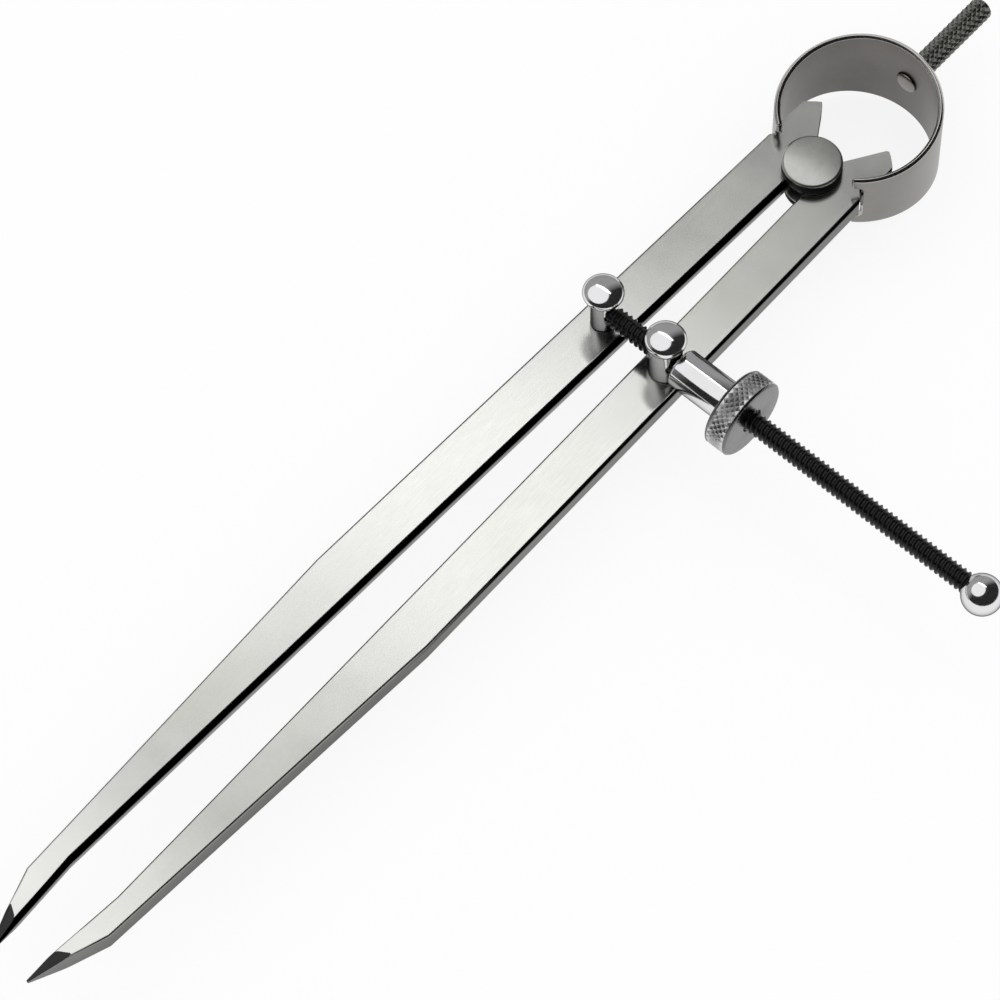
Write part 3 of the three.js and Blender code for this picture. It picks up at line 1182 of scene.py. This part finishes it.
class DIVIDER_OT_ball(bpy.types.Operator):
    """The bright ball on the screw's end"""

    bl_idname = "divider.ball"
    bl_label = "Ball end"

    def execute(self, context):
        radius = (BALL_HIGH.z - BALL_LOW.z) / 2
        flat = 2.1 * MM
        bore, deep = SPIGOT_RADIUS + CLEARANCE, 3.9 * MM
        centre = BALL_HIGH.x - radius
        start = BALL_LOW.x - centre
        from_angle = -math.degrees(math.acos(flat / radius))
        points = [
            (0, start + deep),
            (bore, start + deep),
            (bore, start),
            (flat, start),
            *quarter(radius, 0, radius, 30, from_angle)[1:],
        ]
        piece = turned("ball_bright", points, 72)
        put(piece, (centre, POST_Y, SCREW_LEVEL), ALONG_X)
        smooth(piece)
        dress(piece, "left_post", ["screw_ball_end"], "bright_plate")
        return {"FINISHED"}


class DIVIDER_OT_nut(bpy.types.Operator):
    """The nut: a bright sleeve and a knurled wheel"""

    bl_idname = "divider.nut"
    bl_label = "Nut"

    def execute(self, context):
        s = sizes()
        wide = (SLEEVE_HIGH.z - SLEEVE_LOW.z) / 2
        bore = SCREW_RADIUS + CLEARANCE
        spigot, spigot_deep = 2.75 * MM, 1.6 * MM
        corner = 0.5 * MM
        start = SLEEVE_LOW.x
        stop = WHEEL_LOW.x - CLEARANCE
        end = SLEEVE_HIGH.x
        points = [
            (bore, start),
            (wide - corner, start),
            (wide, start + corner),
            (wide, stop),
            (spigot, stop),
            (spigot, end),
            (bore, end),
            (bore, start),
        ]
        sleeve = turned("nut_sleeve_bright", softened(points, {1, 2, 3}, 0.12 * MM), 72)
        put(sleeve, (0, POST_Y, SCREW_LEVEL), ALONG_X)
        smooth(sleeve)
        dress(sleeve, "nut", ["nut_sleeve"], "bright_plate")

        radius = (WHEEL_HIGH.z - WHEEL_LOW.z) / 2
        left, right = WHEEL_LOW.x, WHEEL_HIGH.x
        edge, step, dip = 0.45 * MM, 0.08 * MM, 0.1 * MM
        core = radius - s.knurl_depth - 0.05 * MM
        socket = spigot + CLEARANCE
        rim = [
            (bore, left + spigot_deep),
            (socket, left + spigot_deep),
            (socket, left),
            (radius - edge, left),
            (radius - step, left + edge - step),
            (core, left + edge + dip),
            (core, right - edge - dip),
            (radius - step, right - edge + step),
            (radius - edge, right),
            (bore, right),
            (bore, left + spigot_deep),
        ]
        wheel = turned("nut_wheel_body", softened(rim, {3, 4, 7, 8, 9}, step), 96)
        smooth(wheel, 25)
        raised, inset, sunk = 0.03 * MM, 0.02 * MM, 0.3 * MM
        rows = 3
        knurl = knurled_band(
            "nut_wheel_knurl",
            core + raised,
            left + edge + inset,
            right - left - 2 * edge - 2 * inset,
            s.wheel_knurls,
            rows,
            s.knurl_depth - 0.02 * MM,
            core - sunk,
        )
        faces = len(wheel.data.polygons)
        wheel = joined("nut_wheel_knurled", [wheel, knurl])
        put(wheel, (0, POST_Y, SCREW_LEVEL), ALONG_X)
        dress(
            wheel,
            "nut",
            ["nut_wheel"],
            "wheel_face_steel",
            [("wheel_knurl_steel", lambda face: face.index >= faces)],
        )
        return {"FINISHED"}


class DIVIDER_OT_stage(bpy.types.Operator):
    """The pale floor, the soft lamp, the dark tent and the camera"""

    bl_idname = "divider.stage"
    bl_label = "Stage"

    def execute(self, context):
        scene = context.scene
        floor_and_world(scene)
        lamp_over(scene)
        dark_surround()
        camera(scene)
        scene.view_settings.view_transform = "Standard"
        return {"FINISHED"}


def white_for_camera(tree, plain, whiteness):
    """The plain shader, and white where the camera, gloss or glass looks."""

    def math_node(operation, one, two):
        return add_node(tree, "ShaderNodeMath", {0: one, 1: two}, operation=operation).outputs[0]

    rays = tree.nodes.new("ShaderNodeLightPath").outputs
    through = math_node("MAXIMUM", rays["Is Glossy Ray"], rays["Is Transmission Ray"])
    sees = math_node("MAXIMUM", rays["Is Camera Ray"], through)
    white = add_node(tree, "ShaderNodeEmission", {"Strength": 1}).outputs[0]
    share = math_node("MULTIPLY", sees, whiteness)
    return add_node(tree, "ShaderNodeMixShader", {0: share, 1: plain, 2: white}).outputs[0]


def floor_and_world(scene):
    """A pale round floor that keeps the shadow, and an even white world."""
    deselect_objects()
    bpy.ops.mesh.primitive_circle_add(
        vertices=96, radius=FLOOR_RADIUS, fill_type="NGON", location=(0, 0, FLOOR_LEVEL)
    )
    floor = bpy.context.active_object
    floor.name = "stage_floor"
    pale = Finish("pale_floor", 0)
    pale.shader.inputs["Base Color"].default_value = (0.96, 0.96, 0.96, 1)
    pale.shader.inputs["Roughness"].default_value = 0.8
    surface = white_for_camera(pale.tree, pale.shader.outputs["BSDF"], FLOOR_WHITENESS)
    pale.tree.links.new(surface, pale.out.inputs["Surface"])
    floor.data.materials.append(pale.material)
    world = bpy.data.worlds.new("studio")
    world.use_nodes = True
    scene.world = world
    tree = world.node_tree
    soft = tree.nodes["Background"]
    soft.inputs["Color"].default_value = (1, 1, 1, 1)
    soft.inputs["Strength"].default_value = WORLD_STRENGTH
    surface = white_for_camera(tree, soft.outputs[0], 1)
    tree.links.new(surface, tree.nodes["World Output"].inputs["Surface"])


def lamp_over(scene):
    """One soft strip lamp overhead, which the bright pieces mirror."""
    lamp = bpy.data.lights.new("soft_strip_over", "AREA")
    lamp.shape = "RECTANGLE"
    lamp.size = LAMP_LENGTH
    lamp.size_y = LAMP_WIDTH
    lamp.energy = sizes().lamp_power
    thing = bpy.data.objects.new("soft_strip_over", lamp)
    scene.collection.objects.link(thing)
    thing.location = LAMP_PLACE


def dark_surround():
    """A dark tent round the table, open overhead, that only the metal shows."""
    deselect_objects()
    bpy.ops.mesh.primitive_uv_sphere_add(
        segments=64, ring_count=32, radius=TENT_RADIUS, location=(0, 0, 0)
    )
    tent = bpy.context.active_object
    tent.name = "stage_tent"
    edit(tent)
    select_mesh()
    bpy.ops.mesh.bisect(
        plane_co=TENT_OPEN_TO * TENT_RADIUS * math.cos(math.radians(TENT_OPENING)),
        plane_no=TENT_OPEN_TO,
        clear_outer=True,
    )
    object_mode()
    dark = Finish("dark_tent", 0)
    dark.shader.inputs["Roughness"].default_value = 0.9
    # Darkest at the right, and grey at the left, a little more so towards the handle
    leftward = dark.node(
        "ShaderNodeMath",
        {0: dark.along("X"), 1: -3.3, 2: dark.along("Y")},
        operation="MULTIPLY_ADD",
    ).outputs[0]
    share = dark.ranged(leftward, 0.3, 2.6, 0, 1)
    dark.link(dark.blended(share, (0.015, 0.015, 0.015), (0.36, 0.36, 0.36)), "Base Color")
    tent.data.materials.append(dark.material)
    tent.visible_camera = False
    tent.visible_diffuse = False
    tent.visible_shadow = False


def camera(scene):
    """A long lens that looks down at the tool from its right."""
    lens = bpy.data.cameras.new("camera")
    lens.lens = CAMERA_LENS
    lens.sensor_width = 36
    lens.clip_start = 0.05
    lens.clip_end = 50
    thing = bpy.data.objects.new("camera", lens)
    scene.collection.objects.link(thing)
    thing.location = CAMERA_PLACE
    thing.rotation_euler = (math.radians(90 - CAMERA_RISE), 0, math.radians(CAMERA_TURN))
    scene.camera = thing


PIECES = (
    DIVIDER_OT_legs,
    DIVIDER_OT_stud,
    DIVIDER_OT_bow,
    DIVIDER_OT_handle,
    DIVIDER_OT_posts,
    DIVIDER_OT_screw,
    DIVIDER_OT_ball,
    DIVIDER_OT_nut,
    DIVIDER_OT_stage,
)


class DIVIDER_PT_panel(bpy.types.Panel):
    """Lists the sizes, the colours and the pieces"""

    bl_idname = "DIVIDER_PT_panel"
    bl_label = "Spring Divider"
    bl_space_type = "VIEW_3D"
    bl_region_type = "UI"
    bl_category = "Divider"

    def draw(self, context):
        for group in (context.scene.divider_sizes, context.scene.divider_colours):
            box = self.layout.box()
            for name in group.__annotations__:
                box.prop(group, name)
        for operator in PIECES:
            self.layout.operator(operator.bl_idname)


CLASSES = (DividerSizes, DividerColours, *PIECES, DIVIDER_PT_panel)


def register():
    for kind in CLASSES:
        bpy.utils.register_class(kind)
    bpy.types.Scene.divider_sizes = bpy.props.PointerProperty(type=DividerSizes)
    bpy.types.Scene.divider_colours = bpy.props.PointerProperty(type=DividerColours)


def unregister():
    del bpy.types.Scene.divider_colours
    del bpy.types.Scene.divider_sizes
    for kind in reversed(CLASSES):
        bpy.utils.unregister_class(kind)


def main():
    """Builds the stage and all pieces."""
    register()
    bpy.ops.divider.stage()
    bpy.ops.divider.legs()
    bpy.ops.divider.stud()
    bpy.ops.divider.bow()
    bpy.ops.divider.handle()
    bpy.ops.divider.posts()
    bpy.ops.divider.screw()
    bpy.ops.divider.ball()
    bpy.ops.divider.nut()
    deselect_objects()
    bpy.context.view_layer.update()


if __name__ == "__main__":
    main()
